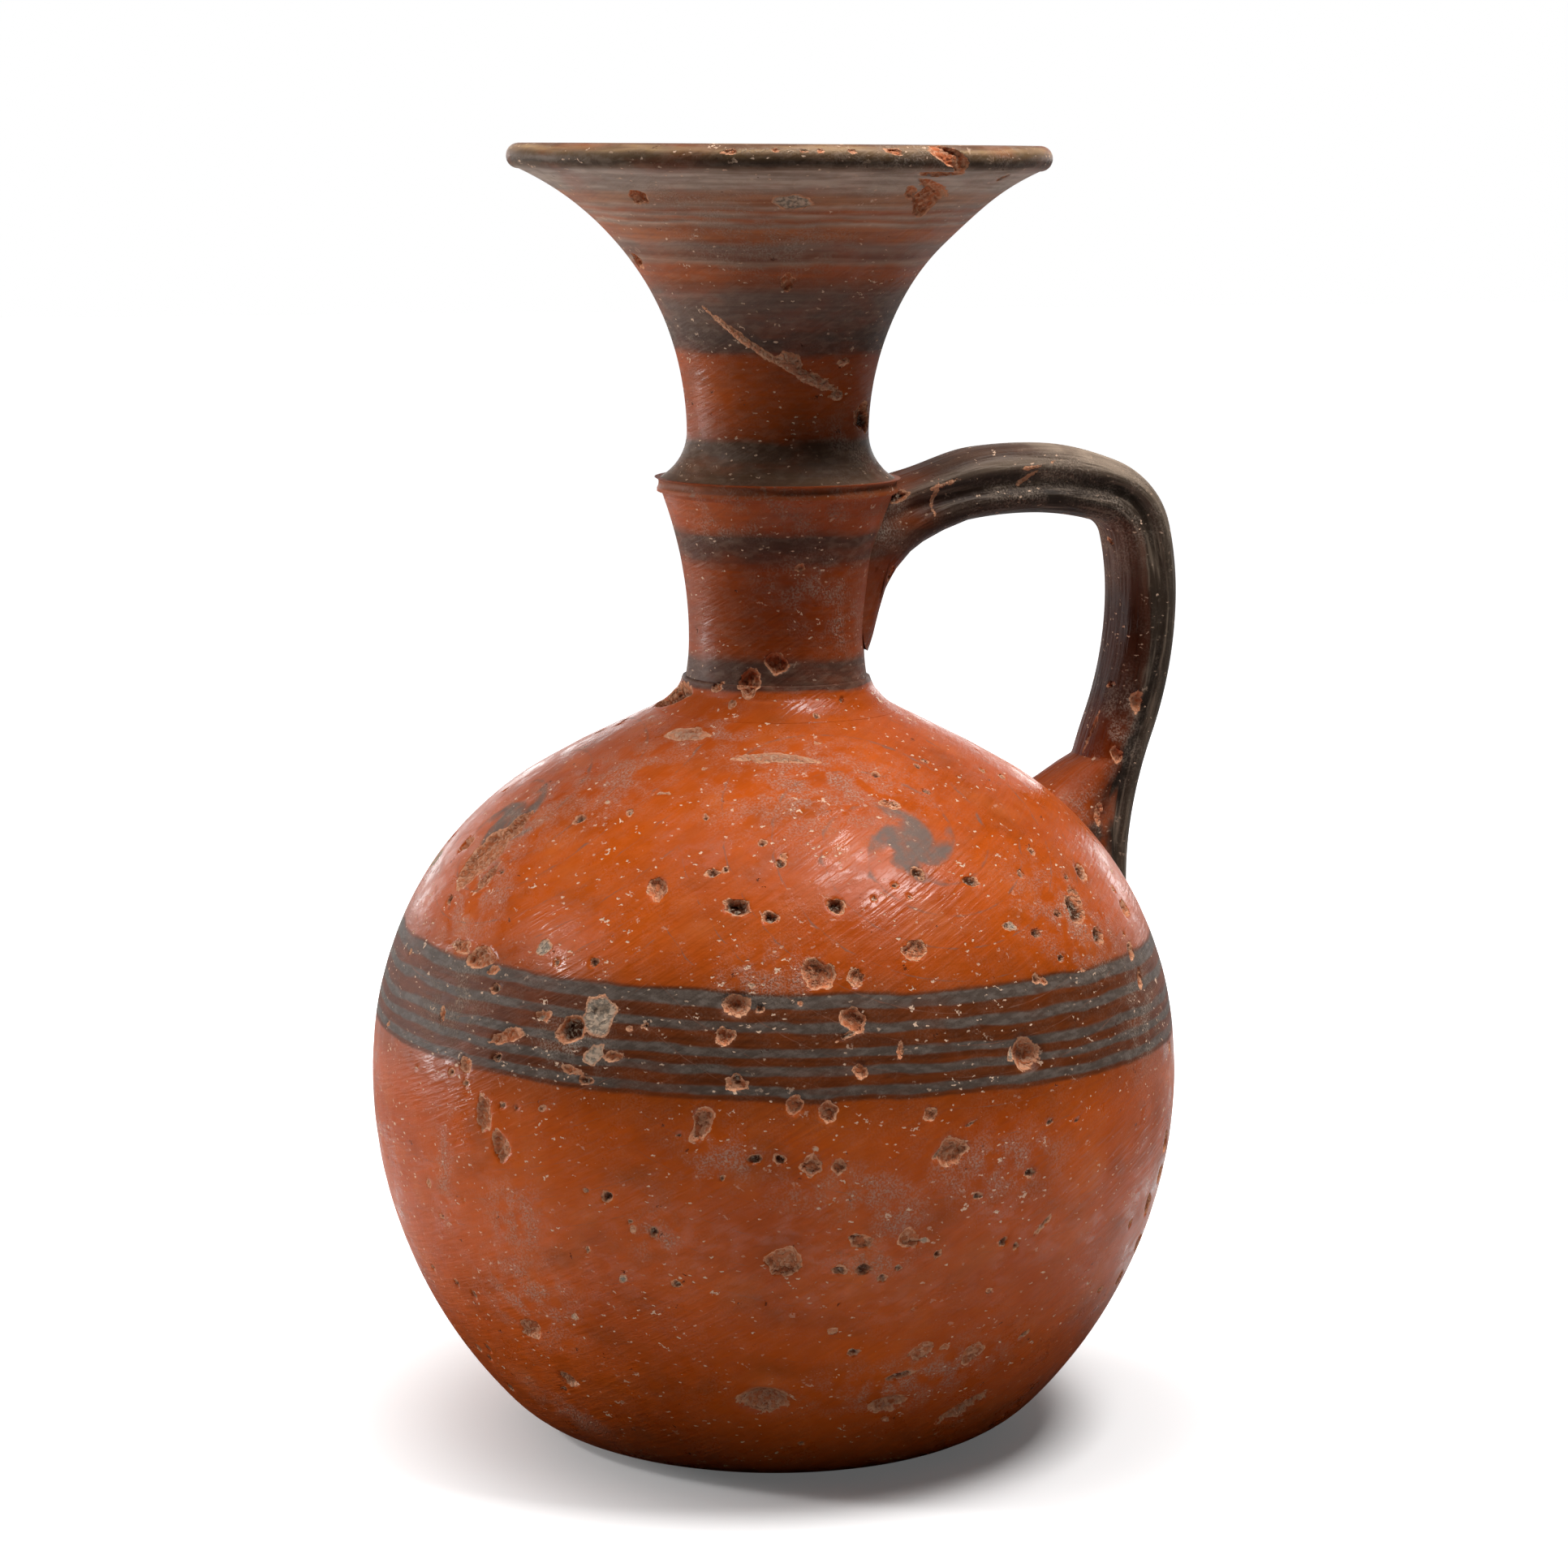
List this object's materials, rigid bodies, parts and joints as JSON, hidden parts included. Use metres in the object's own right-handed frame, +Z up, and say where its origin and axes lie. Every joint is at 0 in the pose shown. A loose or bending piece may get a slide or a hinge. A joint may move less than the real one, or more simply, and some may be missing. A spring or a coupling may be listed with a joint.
{
  "type": "terracotta jug",
  "caption": "Small round-bellied terracotta jug with a narrow ridged neck, a wide funnel mouth and a strap handle from neck to shoulder.",
  "frame": {"origin": "centre of the flat underside of the base, on the jug's axis", "axes": "+Z up along the jug's axis, +X towards the handle, the handle's middle plane is XZ"},
  "size_m": [0.0985, 0.0948, 0.1504],
  "materials": {
    "slipped_clay": "burnished orange-red slip on fired clay, worn and pitted",
    "banded_clay": "burnished slip with matt dark brushed bands",
    "ridge_paint": "matt dark red-brown paint on fired clay",
    "painted_handle": "matt dark brown paint, streaked along the strap",
    "luting_clay": "hand-smoothed clay, rough and part painted"
  },
  "bodies": {
    "root": {"body": "slipped_clay", "neck_collar": "banded_clay", "neck_foot_coil": "banded_clay", "neck_ridge": "ridge_paint", "funnel_mouth": "banded_clay", "handle": "painted_handle", "handle_top_luting": "luting_clay", "handle_foot_luting": "luting_clay"}
  },
  "joints": []
}
